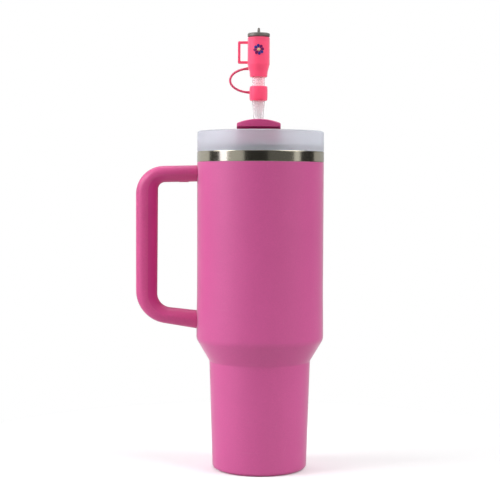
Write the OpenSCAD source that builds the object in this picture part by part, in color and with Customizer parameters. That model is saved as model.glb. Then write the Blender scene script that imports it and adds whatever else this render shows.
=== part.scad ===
// Insulated tumbler with a side handle, a press-in lid with a rotating cover, a drinking straw,
// and a silicone straw cap shaped like a small tumbler.
// Z is the vessel's axis, z = 0 is the table, and the handle points to -X. Sizes are in millimetres.

/* [Vessel] */
// Outside diameter of the upper wall
body_d = 99; // [97:0.5:101]
// Height of the steel rim above the table
rim_z = 248.7; // [246:0.1:252]
// Height of the bare steel band under the rim
band_h = 8.2; // [7:0.1:9]
// Outside diameter at the foot of the shoulder
neck_d = 79.2; // [78:0.2:80]
// Height of the foot of the shoulder
neck_z = 84.8; // [82:0.1:87]
// Height at which the shoulder reaches the full width
shoulder_z = 102.2; // [100:0.1:104]
// Outside diameter at the base
base_d = 74; // [73:0.2:75]
// Thickness of the steel walls
wall_t = 0.6; // [0.5:0.1:1]
// Width of the vacuum gap between the two walls
vacuum_gap = 2.9; // [2.6:0.1:3]
// Height of the drinking side of the vessel's floor
floor_z = 10; // [9.5:0.5:12]

/* [Handle] */
// Distance from the vessel's axis to the outside of the grip
handle_reach = 97.4; // [95:0.2:100]
// Thickness of the upright of the grip, seen from the front
grip_t = 17.2; // [16:0.2:18]
// Width of the grip across the vessel
grip_w = 21; // [20:0.5:23]
// Height of the top of the upper arm
handle_top_z = 237; // [235:0.2:238]
// Height of the lower outside corner
handle_low_z = 117.4; // [116:0.2:119]

/* [Lid] */
// Outside diameter of the lid
lid_d = 98.8; // [96.8:0.2:99]
// Height of the lid above the rim
lid_h = 15.8; // [15:0.1:17]
// Thickness of the lid's side wall
lid_wall = 2.6; // [2.2:0.1:3]
// Height of the deck above the rim
deck_h = 3.9; // [3.6:0.1:4.4]
// Depth of the plug skirt below the rim
skirt_h = 12.7; // [11:0.1:14]

/* [Rotating cover] */
// Distance of the cover's turning axis from the vessel's axis, towards the handle
cover_offset = 1.8; // [0:0.1:2]
// Width of the bar
cover_w = 33; // [31:0.5:35]
// Height of the crown above the lid's edge
crown_h = 7.7; // [6:0.1:9]
// Rise of the crown across the bar's width
crown_rise = 2.6; // [1.6:0.1:3.2]

/* [Straw] */
// Outside diameter of the straw's shank
straw_d = 8; // [7.6:0.1:8.4]
// Outside diameter of the mouthpiece
mouth_d = 9.74; // [9.2:0.02:10]
// Thickness of the straw's wall
straw_t = 1; // [0.9:0.05:1.2]

/* [Straw cap] */
// Height of the cap's lower edge above the table
cap_z = 306.8; // [304:0.1:309]
// Outside diameter of the cap's barrel
cap_d = 17.2; // [16:0.1:18]
// Height of the cap without its lid
cap_h = 30.6; // [30:0.1:32]
// Diameter of the flower on the barrel
flower_d = 8.4; // [7:0.1:9]
// Diameter of the tether
tether_d = 1.8; // [1.5:0.1:2.2]

/* [Hidden] */
$fn = 64;
eps = 0.01;

// Colours of the finishes
coat_pink = [0.79, 0.37, 0.59];
grip_pink = [0.74, 0.29, 0.49];
cover_pink = [0.73, 0.28, 0.48];
coral = [1.0, 0.33, 0.47];
steel = [0.62, 0.61, 0.57];
frosted = [0.86, 0.87, 0.90];
clear = [0.90, 0.88, 0.89];
mini_grey = [0.50, 0.48, 0.46];
ceramic = [0.25, 0.25, 0.27];
petal_blue = [0.16, 0.20, 0.50];
petal_purple = [0.45, 0.13, 0.37];
cream = [1.0, 0.80, 0.60];

// Vessel
body_r = body_d / 2;
shoulder_r = body_r + 0.4;
neck_r = neck_d / 2;
base_r = base_d / 2;
band_z = rim_z - band_h;
flare_z = shoulder_z + 38;
foot_r = 29;
liner_inset = wall_t + vacuum_gap;
liner_r = body_r - liner_inset - wall_t;
edge_r = 0.35;
rim_round = 0.45;
lip_r = 1.2;
corner_n = 8;
pan_z = 4;
disc_z = 2;
disc_t = 1.1;
disc_r = foot_r - wall_t - 0.1;
vent_r = 1.6;
getter_x = 14;
getter_cup_h = 4;
getter_r = 6.5;

// Lid, from the rim upwards
lid_r = lid_d / 2;
lid_top_z = rim_z + lid_h;
recess_r = lid_r - lid_wall;
deck_z = rim_z + deck_h;
deck_t = 2.2;
skirt_r = liner_r - 0.7;
skirt_t = 2.6;
skirt_z = rim_z - skirt_h;
groove_z = skirt_z + 2.6;
groove_h = 4;
groove_d = 1.3;
hub_hole_r = 12.2;
oring_seat_r = 14.4;
oring_seat_d = 1.4;
oring_t = 1.7;
port_y = -31.5;
port_w = 17;
port_d = 9;
vent_hole_r = 2;

// Rotating cover
cover_r = recess_r - cover_offset - 1.2;
cover_low_z = deck_z + 0.5;
crown_z = lid_top_z + crown_h;
crown_r = (pow(cover_w / 2 - 1, 2) + pow(crown_rise, 2)) / (2 * crown_rise);
cover_t = 2.3;
finger_d = 3.6;
finger_z = lid_top_z - 3;
finger_h = 5.4;
hub_r = 12;
hub_z = deck_z - 5;
hub_bore_r = 9;
flange_r = 14.1;
flange_h = 1.2;
clip_z = deck_z - deck_t - 1.6;
clip_h = 1;
clip_d = 0.9;
plate_z = cover_low_z + 1.1;
plate_t = 1.6;
seal_gap = 0.15;
stem_r = 2;

// Straw and its seal
straw_r = straw_d / 2;
mouth_r = mouth_d / 2;
straw_z = floor_z + 1.5;
mouth_z = crown_z + 15.4;
flare_h = 14.2;
tip_in_cap = 15;
grommet_h = 8;
grommet_bore_r = straw_r + 0.3;

// Straw cap
cap_r = cap_d / 2;
cap_bore_r = mouth_r + 0.1;
cap_foot_r = 6.75;
cap_step_h = 4.5;
cap_seat_r = cap_r - 1.5;
cap_seat_h = 2;
cap_lid_z = cap_z + cap_h;
cap_lid_h = 3.3;
cap_lid_r = cap_r + 0.05;
pin_r = 1.1;
pin_seat_h = 1;
pin_top_h = 7.5;
collar_z = cap_z - 18.4;
collar_h = 11.3;
collar_r = 7.1;
ear_t = 2;
ear_w = 2.6;
ear_reach = 16.2;
ear_z = cap_z + 10.3;
ear_h = 17.4;
petal_n = 8;
petal_t = 0.4;
petal_r = 1.12;
petal_root = 1.2;
eye_r = 1.15;
petal_turn = 8;
flower_z = cap_z + 20.6;

// Arc round centre c from angle a0 to a1, as n + 1 points
function arc(c, r, a0, a1, n) =
    [for (i = [0:n]) c + r * [cos(a0 + (a1 - a0) * i / n), sin(a0 + (a1 - a0) * i / n)]];

// Corner b of the path a-b-c rounded to radius r
function rounded(a, b, c, r) =
    let (
        u = (a - b) / norm(a - b),
        v = (c - b) / norm(c - b),
        half = acos(u * v) / 2,
        centre = b + (u + v) / norm(u + v) * r / sin(half),
        start = b + u * r / tan(half) - centre,
        a0 = atan2(start.y, start.x)
    )
    arc(centre, r, a0, a0 + (180 - 2 * half) * sign(cross(b - a, c - b)), corner_n);

// Open path with each inner corner rounded to its own radius, where 0 leaves it sharp
function round_path(points, radii) =
    let (last = len(points) - 1)
    [for (i = [0:last])
        each (i == 0 || i == last || radii[i] == 0)
            ? [points[i]]
            : rounded(points[i - 1], points[i], points[i + 1], radii[i])];

// Side wall of the vessel, from the base up to top_z, inset towards the axis and lifted at the base
function wall_path(inset, low_z, low_r, top_z, first) =
    round_path(
        [
            first,
            [base_r - inset, low_z],
            [neck_r - inset, neck_z],
            [shoulder_r - inset, shoulder_z],
            [body_r - inset, flare_z],
            [body_r - inset, top_z],
        ],
        [0, low_r, 3, 9, 0, 0]
    );

function reversed(list) = [for (i = [len(list) - 1:-1:0]) list[i]];

// Closed rings of points joined into one solid, with flat caps at both ends
module loft(rings) {
    n = len(rings[0]);
    last = len(rings) - 1;
    polyhedron(
        points = [for (ring = rings) each ring],
        faces = concat(
            [[for (k = [n - 1:-1:0]) k]],
            [for (i = [0:last - 1]) for (k = [0:n - 1])
                [i * n + k, i * n + (k + 1) % n, (i + 1) * n + (k + 1) % n, (i + 1) * n + k]],
            [[for (k = [0:n - 1]) last * n + k]]
        ),
        convexity = 6
    );
}

// Rounded bar section between points a and b of the XZ plane, half_w wide each way along Y
function bar_ring(a, b, half_w, power, n) =
    let (centre = (a + b) / 2, reach = (b - a) / 2)
    [for (k = [0:n - 1])
        let (
            t = 360 * k / n,
            c = sign(cos(t)) * pow(abs(cos(t)), 2 / power),
            s = sign(sin(t)) * pow(abs(sin(t)), 2 / power),
            p = centre + reach * c
        )
        [p.x, half_w * s, p.y]];

module stadium(length, width) {
    square([length - width, width], center = true);
    for (side = [-1, 1]) translate([side * (length - width) / 2, 0]) circle(d = width);
}

// Moves what turns with the cover, and the straw, to the cover's axis
module at_cover() translate([-cover_offset, 0, 0]) children();

module ring(r_in, r_out, z, h)
    translate([0, 0, z]) difference() {
        cylinder(r = r_out, h = h);
        translate([0, 0, -1]) cylinder(r = r_in, h = h + 2);
    }

// ---- Vessel ----

module outer_shell()
    color(coat_pink) rotate_extrude() polygon(concat(
        wall_path(0, 0, 3, band_z - edge_r, [foot_r, 0]),
        [[body_r - edge_r, band_z], [body_r - wall_t, band_z]],
        reversed(wall_path(wall_t, wall_t, 3 - wall_t, band_z - 1, [foot_r, wall_t]))
    ));

// Everything inside the vessel's outer surface, grown by gap
module vessel_envelope(gap)
    rotate_extrude() polygon(concat(
        wall_path(-gap, -1, 0, rim_z, [0, -1]),
        [[0, rim_z]]
    ));

module shell_base()
    color(coat_pink) rotate_extrude() polygon([
        [foot_r, 0.2], [foot_r, pan_z], [vent_r, pan_z], [vent_r, pan_z - wall_t],
        [foot_r - wall_t, pan_z - wall_t], [foot_r - wall_t, 0.2],
    ]);

module base_disc()
    color(steel) rotate_extrude() polygon(concat(
        [[0, disc_z]],
        arc([disc_r - 0.5, disc_z + 0.5], 0.5, -90, 0, 4),
        [[disc_r, disc_z + disc_t], [0, disc_z + disc_t]]
    ));

module vent_plug()
    color(steel) rotate_extrude() polygon(concat(
        [[0, pan_z - wall_t], [vent_r, pan_z - wall_t], [vent_r, pan_z]],
        arc([0, pan_z - 1.2], 2.4, 30, 90, 6)
    ));

// Drinking wall, whose top edge turns outwards and down to make the bare steel band
module inner_liner()
    color(steel) rotate_extrude() polygon(concat(
        wall_path(liner_inset + wall_t, floor_z, 6, rim_z - lip_r, [0, floor_z]),
        arc([liner_r + lip_r, rim_z - lip_r], lip_r, 180, 90, 4),
        arc([body_r - rim_round, rim_z - rim_round], rim_round, 90, 0, 4),
        [[body_r, band_z + edge_r], [body_r - edge_r, band_z], [body_r - wall_t, band_z]],
        [[body_r - wall_t, rim_z - wall_t - 0.3], [liner_r + wall_t, rim_z - wall_t - 0.3]],
        reversed(wall_path(liner_inset, floor_z - wall_t, 6 + wall_t, rim_z - 2, [0, floor_z - wall_t]))
    ));

module getter_cup()
    color(steel) translate([getter_x, 0, floor_z - wall_t - getter_cup_h]) difference() {
        cylinder(r = getter_r + 1.5, h = getter_cup_h);
        translate([0, 0, 0.5]) cylinder(r = getter_r + 1, h = getter_cup_h);
        translate([0, 0, -1]) cylinder(r = getter_r - 3.5, h = 2);
    }

module getter()
    color(ceramic) translate([getter_x, 0, floor_z - wall_t - getter_cup_h + 0.5])
        cylinder(r = getter_r, h = 2.4);

// ---- Handle ----

arm_end_x = -(body_r - 1.5);
inner_x = -(handle_reach - grip_t);
bracket_z = [handle_top_z - 5.6, handle_low_z + 0.7];
top_corner_r = 22;
low_corner_r = 26;
gap_top_r = 5.5;
gap_low_r = 11;
upper_arm_t = 12.4;
lower_arm_t = 9.6;
arm_drop = 8;
screw_x = -60;
shank_r = 1.94;
head_r = 3.5;
head_z = 3.95;
head_h = 2;
pocket_r = 3.8;
plug_h = [0.6, 0.5];
core_skin = 3;
core_end_x = -(body_r + 1.8);
tongue_t = 3;
tongue_w = 10;
tongue_end_x = -(body_r + 15);

// Outside and inside edges of the handle in the XZ plane, pulled in by skin, ending at end_x
function handle_outside(skin, end_x) =
    round_path(
        [
            [end_x, handle_top_z + 1.1 - skin],
            [-handle_reach + skin, handle_top_z - skin],
            [-handle_reach + skin, handle_low_z + skin],
            [end_x, handle_low_z - arm_drop + skin],
        ],
        [0, top_corner_r - skin, low_corner_r - skin, 0]
    );

function handle_inside(skin, end_x) =
    round_path(
        [
            [end_x, handle_top_z - upper_arm_t + 0.8 + skin],
            [inner_x - skin, handle_top_z - upper_arm_t + skin],
            [inner_x - 0.7 - skin, handle_low_z + lower_arm_t - skin],
            [end_x, handle_low_z - arm_drop + lower_arm_t + 4.5 - skin],
        ],
        [0, gap_top_r + skin, gap_low_r + skin, 0]
    );

module core_bar()
    translate([0, grip_w / 2 - core_skin - 0.5, 0]) rotate([90, 0, 0])
        linear_extrude(grip_w - 2 * core_skin - 1) polygon(concat(
            handle_outside(core_skin, core_end_x),
            reversed(handle_inside(core_skin, core_end_x))
        ));

// Hole for one handle screw: the shank through the core, then its head and the plug through the grip.
// side is -1 for the upper arm, whose screw comes from below, and 1 for the lower arm.
module screw_hole(z, side)
    translate([screw_x, 0, z]) rotate([side < 0 ? 180 : 0, 0, 0]) {
        translate([0, 0, -tongue_t / 2 - 1.5]) cylinder(r = 2.1, h = 12);
        translate([0, 0, head_z - 0.05]) cylinder(r = pocket_r, h = 8);
    }

module handle_core()
    color(grip_pink) difference() {
        core_bar();
        for (i = [0, 1]) {
            screw_hole(bracket_z[i], 2 * i - 1);
            translate([tongue_end_x - 0.3, -tongue_w / 2 - 0.1, bracket_z[i] - tongue_t / 2 - 0.1])
                cube([20, tongue_w + 0.2, tongue_t + 0.2]);
        }
    }

module handle_grip() {
    outside = handle_outside(0, arm_end_x);
    inside = handle_inside(0, arm_end_x);
    color(grip_pink) difference() {
        loft([for (i = [0:len(outside) - 1]) bar_ring(inside[i], outside[i], grip_w / 2, 2.6, 28)]);
        core_bar();
        vessel_envelope(0.3);
        for (i = [0, 1]) {
            translate([-(body_r + 3), -grip_w / 2 + core_skin + 0.5, bracket_z[i] - 3.5])
                cube([5, grip_w - 2 * core_skin - 1, 7]);
            translate([screw_x, 0, bracket_z[i] + (2 * i - 1) * 7.6])
                cylinder(r = pocket_r, h = 9.4, center = true);
        }
    }
}

// Steel pad on the vessel's wall with a threaded tongue that slides into the handle's arm
module bracket(z)
    color(steel) difference() {
        union() {
            translate([tongue_end_x, -tongue_w / 2, z - tongue_t / 2]) cube([17, tongue_w, tongue_t]);
            translate([-(body_r + 1.5), -6.5, z - 3]) cube([4, 13, 6]);
        }
        vessel_envelope(0);
        translate([screw_x, 0, z - 5]) cylinder(r = shank_r + 0.01, h = 10);
    }

module upper_bracket() bracket(bracket_z[0]);

module lower_bracket() bracket(bracket_z[1]);

module handle_screws()
    color(steel) for (i = [0, 1])
        translate([screw_x, 0, bracket_z[i]]) rotate([i == 0 ? 180 : 0, 0, 0]) difference() {
            union() {
                translate([0, 0, -2.8]) cylinder(r = shank_r, h = head_z + 2.85);
                translate([0, 0, head_z]) cylinder(r = head_r, h = head_h);
            }
            translate([0, 0, head_z + 0.85]) cylinder(r = 1.4, h = head_h, $fn = 6);
        }

module screw_plugs()
    color(grip_pink) for (i = [0, 1])
        translate([screw_x, 0, bracket_z[i]]) rotate([i == 0 ? 180 : 0, 0, 0])
            translate([0, 0, head_z + head_h + 0.05]) cylinder(r = pocket_r - 0.05, h = plug_h[i]);

// ---- Lid ----

module lid_body()
    color(frosted) difference() {
        rotate_extrude() polygon(concat(
            arc([lid_r - 0.25, rim_z + 0.25], 0.25, -90, 0, 3),
            arc([lid_r - 1.5, lid_top_z - 1.5], 1.5, 0, 90, 6),
            arc([recess_r + 0.9, lid_top_z - 0.9], 0.9, 90, 180, 4),
            arc([recess_r - 1.2, deck_z + 1.2], 1.2, 0, -90, 4),
            [[0, deck_z], [0, deck_z - deck_t]],
            arc([skirt_r - skirt_t - 2, deck_z - deck_t - 2], 2, 90, 0, 5),
            [
                [skirt_r - skirt_t, skirt_z], [skirt_r - 0.6, skirt_z], [skirt_r, skirt_z + 0.6],
                [skirt_r, groove_z], [skirt_r - groove_d, groove_z],
                [skirt_r - groove_d, groove_z + groove_h], [skirt_r, groove_z + groove_h],
                [skirt_r, rim_z],
            ]
        ));
        at_cover() {
            translate([0, 0, deck_z - oring_seat_d]) cylinder(r = oring_seat_r, h = 3);
            translate([0, 0, deck_z - deck_t - 1]) {
                cylinder(r = hub_hole_r, h = deck_t + 2);
                translate([0, port_y, 0]) linear_extrude(deck_t + 2) stadium(port_w, port_d);
                translate([0, -port_y, 0]) cylinder(r = vent_hole_r, h = deck_t + 2);
            }
        }
    }

// Silicone ring in the skirt's groove, with two lips that wipe the drinking wall
module lid_gasket()
    color(clear) rotate_extrude() polygon([
        [skirt_r - groove_d, groove_z + 0.1], [skirt_r, groove_z + 0.1],
        [liner_r - 0.15, groove_z + 0.9], [skirt_r, groove_z + 1.7],
        [skirt_r, groove_z + 2.3], [liner_r - 0.15, groove_z + 3.1],
        [skirt_r, groove_z + groove_h - 0.1], [skirt_r - groove_d, groove_z + groove_h - 0.1],
    ]);

module hub_oring()
    color(clear) at_cover() translate([0, 0, deck_z - oring_seat_d + oring_t / 2]) rotate_extrude()
        translate([oring_seat_r - oring_t / 2 - 0.1, 0]) circle(d = oring_t);

// ---- Rotating cover ----

module bar_outline(inset)
    intersection() {
        circle(r = cover_r - inset);
        square([cover_w - 2 * inset, 2 * cover_r], center = true);
    }

// Solid under the arched crown, above z, with the outline's inset and the crown lowered by drop
module crowned(z, drop)
    intersection() {
        translate([0, 0, z]) linear_extrude(crown_z - z + 1) children();
        translate([0, 0, crown_z - crown_r]) rotate([90, 0, 0])
            cylinder(r = crown_r - drop, h = 4 * cover_r, center = true, $fn = 180);
    }

module rotating_cover()
    color(cover_pink) at_cover() difference() {
        union() {
            difference() {
                crowned(cover_low_z, 0) bar_outline(0);
                crowned(cover_low_z - 1, cover_t) intersection() {
                    bar_outline(cover_t);
                    circle(r = cover_r - finger_d - cover_t);
                }
                ring(cover_r - finger_d, cover_r + 1, finger_z, finger_h);
            }
            crowned(hub_z, 0) circle(r = hub_r);
            translate([0, 0, deck_z + 0.45]) cylinder(r = flange_r, h = flange_h);
        }
        translate([0, 0, hub_z - 1]) cylinder(r = hub_bore_r, h = crown_z - hub_z + 2);
        ring(hub_r - clip_d, hub_r + 1, clip_z - 0.1, clip_h + 0.2);
    }

module cover_base()
    color(cover_pink) at_cover() translate([0, 0, plate_z]) difference() {
        linear_extrude(plate_t) intersection() {
            bar_outline(cover_t + 0.1);
            circle(r = cover_r - finger_d - cover_t - 0.1);
        }
        translate([0, 0, -1]) cylinder(r = flange_r + 0.1, h = plate_t + 2);
        for (side = [-1, 1]) translate([0, side * port_y, -1]) cylinder(r = stem_r, h = plate_t + 2);
    }

// Mushroom stem that holds a seal in the cover's base plate
module seal_stem() {
    translate([0, 0, plate_z - eps]) cylinder(r = stem_r, h = plate_t + 0.3);
    translate([0, 0, plate_z + plate_t]) cylinder(r1 = stem_r + 0.8, r2 = stem_r - 0.6, h = 1.6);
}

module sip_seal()
    color(clear) at_cover() translate([0, port_y, 0]) {
        translate([0, 0, deck_z + seal_gap]) linear_extrude(plate_z - deck_z - seal_gap)
            stadium(port_w + 4, port_d + 1.6);
        seal_stem();
    }

module vent_seal()
    color(clear) at_cover() translate([0, -port_y, 0]) {
        translate([0, 0, deck_z + seal_gap]) cylinder(r = 5, h = plate_z - deck_z - seal_gap);
        seal_stem();
    }

// Spring ring in the hub's groove, under the deck, that keeps the cover on the lid
module hub_clip()
    color(steel) at_cover() difference() {
        ring(hub_r - clip_d + 0.05, hub_r + 2.4, clip_z, clip_h);
        translate([0, 0, clip_z - 1]) linear_extrude(clip_h + 2) polygon([[0, 0], [20, 9], [20, -9]]);
    }

module straw_grommet()
    color(clear) at_cover() rotate_extrude() polygon(concat(
        [
            [grommet_bore_r, crown_z - grommet_h], [hub_bore_r, crown_z - grommet_h],
            [hub_bore_r, crown_z - 1.4],
        ],
        arc([straw_r + 0.9, crown_z + 0.1], 0.6, 0, 180, 6),
        [[grommet_bore_r, crown_z - 0.6]]
    ));

// ---- Straw and its collar ----

module straw() {
    tip_z = cap_z + tip_in_cap;
    color(clear) at_cover() rotate_extrude() polygon([
        [straw_r - straw_t, straw_z], [straw_r, straw_z], [straw_r, mouth_z - flare_h],
        [mouth_r, mouth_z], [mouth_r, tip_z - 0.5], [mouth_r - 0.5, tip_z],
        [mouth_r - straw_t, tip_z], [mouth_r - straw_t, mouth_z], [straw_r - straw_t, mouth_z - flare_h],
    ]);
}

module collar()
    color(coral) at_cover() rotate_extrude() polygon(concat(
        [[mouth_r + 0.03, collar_z + 0.5], [mouth_r + 0.5, collar_z]],
        arc([collar_r - 1.3, collar_z + 1.3], 1.3, -90, 0, 6),
        arc([collar_r - 0.8, collar_z + collar_h - 0.8], 0.8, 0, 90, 6),
        [[mouth_r + 0.5, collar_z + collar_h], [mouth_r + 0.03, collar_z + collar_h - 0.5]]
    ));

// Centreline of the tether in the XZ plane: an oval bow from the collar round to the cap
tether_low_z = collar_z + 6.5;
tether_high_z = cap_z + 6.6;
tether_root_x = -6.6;
tether_bow = 15.6;
tether_rings = 40;
tether_sides = 10;
tether_end = 85.2;

function tether_point(i) =
    let (t = -90 + (90 + tether_end) * i / tether_rings)
    [
        tether_root_x - tether_bow * cos(t),
        (tether_low_z + tether_high_z) / 2 + (tether_high_z - tether_low_z) / 2 * sin(t),
    ];

module tether() {
    color(coral) at_cover() loft([for (i = [0:tether_rings])
        let (
            p = tether_point(i),
            along = tether_point(min(i + 1, tether_rings)) - tether_point(max(i - 1, 0)),
            across = [along.y, -along.x] / norm(along) * tether_d / 2
        )
        bar_ring(p - across, p + across, tether_d / 2, 2, tether_sides)]);
}

// ---- Straw cap ----

// Small square handle on the side of the cap's barrel
module cap_ear()
    translate([0, ear_w / 2, 0]) rotate([90, 0, 0]) linear_extrude(ear_w) difference() {
        union() {
            translate([-ear_reach + 0.8, ear_z]) square([ear_reach - cap_r + 0.2, ear_h]);
            translate([-ear_reach, ear_z + 0.8]) square([2, ear_h - 1.6]);
            for (z = [ear_z + 0.8, ear_z + ear_h - 0.8]) translate([-ear_reach + 0.8, z]) circle(r = 0.8);
        }
        translate([-ear_reach + ear_t, ear_z + ear_t]) square([ear_reach, ear_h - 2 * ear_t]);
    }

module cap_body()
    color(coral) at_cover() difference() {
        union() {
            rotate_extrude() polygon(concat(
                [[0, cap_z]],
                arc([cap_foot_r - 0.5, cap_z + 0.5], 0.5, -90, 0, 4),
                [[cap_foot_r + 0.35, cap_z + cap_step_h], [cap_foot_r + 0.65, cap_z + cap_step_h + 0.6]],
                arc([cap_r - 2, cap_z + 10], 2, -22, 0, 4),
                arc([cap_r - 0.5, cap_lid_z - 0.5], 0.5, 0, 90, 4),
                [[0, cap_lid_z]]
            ));
            cap_ear();
        }
        translate([0, 0, cap_z - 1]) cylinder(r = cap_bore_r, h = tip_in_cap + 1.8);
        translate([0, 0, cap_lid_z - cap_seat_h]) cylinder(r = cap_seat_r, h = cap_seat_h + 1);
    }

module cap_lid()
    color(mini_grey) at_cover() difference() {
        rotate_extrude() polygon(concat(
            [
                [0, cap_lid_z - cap_seat_h], [cap_seat_r, cap_lid_z - cap_seat_h],
                [cap_seat_r, cap_lid_z + 0.1], [cap_r - 0.5, cap_lid_z + 0.6],
            ],
            arc([cap_lid_r - 0.5, cap_lid_z + 1.1], 0.5, -90, 0, 4),
            arc([cap_lid_r - 0.9, cap_lid_z + cap_lid_h - 0.9], 0.9, 0, 90, 6),
            [[0, cap_lid_z + cap_lid_h]]
        ));
        translate([0, 0, cap_lid_z + pin_seat_h]) cylinder(r = pin_r, h = cap_lid_h);
    }

// Stub of a straw in the small lid
module cap_pin()
    color(mini_grey) at_cover() rotate_extrude() polygon(concat(
        [[0, cap_lid_z + pin_seat_h], [pin_r, cap_lid_z + pin_seat_h]],
        arc([pin_r - 0.5, cap_lid_z + pin_top_h - 0.5], 0.5, 0, 90, 4),
        [[0, cap_lid_z + pin_top_h]]
    ));

// Skin of the given thickness on the front of the cap's barrel
module barrel_skin(t)
    at_cover() intersection() {
        ring(cap_r, cap_r + t, flower_z - flower_d, 2 * flower_d);
        translate([0, 0, flower_z]) rotate([90, 0, 0]) linear_extrude(cap_r + 2) children();
    }

// One petal: a drop with its point at the flower's centre
module petal() {
    middle = flower_d / 2 - petal_r;
    side = 180 - acos(petal_r / (middle - petal_root));
    polygon(concat(arc([middle, 0], petal_r, -side, side, 14), [[petal_root, 0]]));
}

module petals(which)
    barrel_skin(petal_t) for (i = which) rotate(petal_turn + 360 / petal_n * i) petal();

module petals_blue() color(petal_blue) petals([2, 3, 6, 7]);

module petals_purple() color(petal_purple) petals([0, 1, 4, 5]);

module flower_centre() color(cream) barrel_skin(petal_t + 0.2) circle(r = eye_r);

outer_shell();
shell_base();
base_disc();
vent_plug();
inner_liner();
getter_cup();
getter();
handle_core();
handle_grip();
upper_bracket();
lower_bracket();
handle_screws();
screw_plugs();
lid_body();
lid_gasket();
hub_oring();
rotating_cover();
cover_base();
sip_seal();
vent_seal();
hub_clip();
straw_grommet();
straw();
collar();
tether();
cap_body();
cap_lid();
cap_pin();
petals_blue();
petals_purple();
flower_centre();
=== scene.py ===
import math

import bpy
from mathutils import Matrix, Vector


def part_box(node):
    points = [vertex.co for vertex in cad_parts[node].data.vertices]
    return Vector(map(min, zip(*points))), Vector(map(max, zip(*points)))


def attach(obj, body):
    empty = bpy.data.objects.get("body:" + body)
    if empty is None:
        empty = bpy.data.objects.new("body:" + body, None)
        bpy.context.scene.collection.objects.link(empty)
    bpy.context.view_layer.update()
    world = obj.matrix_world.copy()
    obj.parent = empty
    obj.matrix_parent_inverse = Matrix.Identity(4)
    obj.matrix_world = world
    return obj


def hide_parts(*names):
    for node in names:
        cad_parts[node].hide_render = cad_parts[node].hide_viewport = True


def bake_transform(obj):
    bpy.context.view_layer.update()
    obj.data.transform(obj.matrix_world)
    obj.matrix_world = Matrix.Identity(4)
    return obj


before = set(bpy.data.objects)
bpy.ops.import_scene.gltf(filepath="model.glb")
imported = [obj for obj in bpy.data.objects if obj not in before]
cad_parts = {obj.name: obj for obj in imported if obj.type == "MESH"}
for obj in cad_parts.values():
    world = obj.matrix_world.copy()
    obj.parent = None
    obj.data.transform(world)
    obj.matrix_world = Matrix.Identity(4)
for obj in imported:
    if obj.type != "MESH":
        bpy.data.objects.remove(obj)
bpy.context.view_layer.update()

MM = 0.001


# ---- Sizes, in millimetres, taken from the frame ----

def corners(node):
    """Lowest and highest corner of a CAD node, in millimetres."""
    low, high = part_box(node)
    return low / MM, high / MM


BODY_R = corners("inner_liner")[1].x
RIM_Z = corners("inner_liner")[1].z
FLOOR_UNDER_Z = corners("inner_liner")[0].z
BAND_Z = corners("outer_shell")[1].z
LID_R = corners("lid_body")[1].x
LID_TOP_Z = corners("lid_body")[1].z
SKIRT_Z = corners("lid_body")[0].z
AXIS_X = (corners("rotating_cover")[0].x + corners("rotating_cover")[1].x) / 2
COVER_R = corners("rotating_cover")[1].y
COVER_W = corners("rotating_cover")[1].x - corners("rotating_cover")[0].x
CROWN_Z = corners("rotating_cover")[1].z
HUB_Z = corners("rotating_cover")[0].z
STRAW_LOW_Z, STRAW_TIP_Z = (c.z for c in corners("straw"))
MOUTH_R = (corners("straw")[1].y - corners("straw")[0].y) / 2
CAP_Z, CAP_LID_Z = (c.z for c in corners("cap_body"))
CAP_R = corners("cap_body")[1].y
CAP_TOP_Z = corners("cap_lid")[1].z
PIN_TOP_Z = corners("cap_pin")[1].z
COLLAR_LOW_Z, COLLAR_TOP_Z = (c.z for c in corners("collar"))
COLLAR_R = corners("collar")[1].y
HANDLE_X = corners("handle_grip")[0].x
HANDLE_HALF_W = corners("handle_grip")[1].y
HANDLE_LOW_Z, HANDLE_TOP_Z = (c.z for c in corners("handle_grip"))
FLOWER_Z = (corners("flower_centre")[0].z + corners("flower_centre")[1].z) / 2

NECK_R, NECK_Z = 39.6, 84.8
SHOULDER_R, SHOULDER_Z = BODY_R + 0.4, 102.2
FLARE_Z = SHOULDER_Z + 38
BASE_R = 37
FOOT_R = 29
WALL = 0.6
LINER_INSET = 3.5
LINER_R = BODY_R - LINER_INSET - WALL

DECK_Z = corners("cover_base")[0].z - 1.6
DECK_T = 2.2
RECESS_R = LID_R - 2.6
SKIRT_R = LINER_R - 0.7
SKIRT_T = 2.6
GROOVE_Z = SKIRT_Z + 2.6
GROOVE_H = 4
GROOVE_D = 1.3
PORT_Y = -31.5
PORT_W, PORT_D = 17, 9
VENT_R = 2
HUB_HOLE_R = 12.2
ORING_SEAT_R, ORING_SEAT_D = 14.4, 1.4
HUB_R = 12
HUB_BORE_R = 9
FINGER_LOW_Z, FINGER_TOP_Z = LID_TOP_Z - 3, LID_TOP_Z + 2.1
FINGER_D = 3.6
COVER_T = 2.3
CROWN_RISE = 2.6
HUB_COLLAR_R = 14.1

GRIP_T = 17.2
ARM_RISE = 1.1
ARM_DROP = 8
UPPER_ARM_T = 12.4
LOWER_ARM_T = 9.6
TOP_CORNER_R = 22
LOW_CORNER_R = 26
GAP_TOP_R = 5.5
GAP_LOW_R = 11
CORE_SKIN = 3
CORE_HALF_W = 7
SCREW_ROOM_R = 3.8
# Share of the grip's section, from its inner edge, that carries the painted shade: a deeper pink standing
# in for the shade and pink bounce on the side facing the vessel
PAINTED_SHADE_STRIP = 0.42

CAP_FOOT_R = 6.75
FLOWER_R = 4.2
PETAL_R = 1.13
PETAL_ROOT = 1.1
EYE_R = 1.15
PIN_R = 1.1
PIN_SEAT = 1
STRAW_R = 4
STRAW_T = 1
TETHER_ROOT = 6.6
TETHER_BOW = 15.6
TETHER_T = 1.8
TETHER_END = 85.2

FINE = 256
SMALL = 128


# ---- Outlines ----

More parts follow.
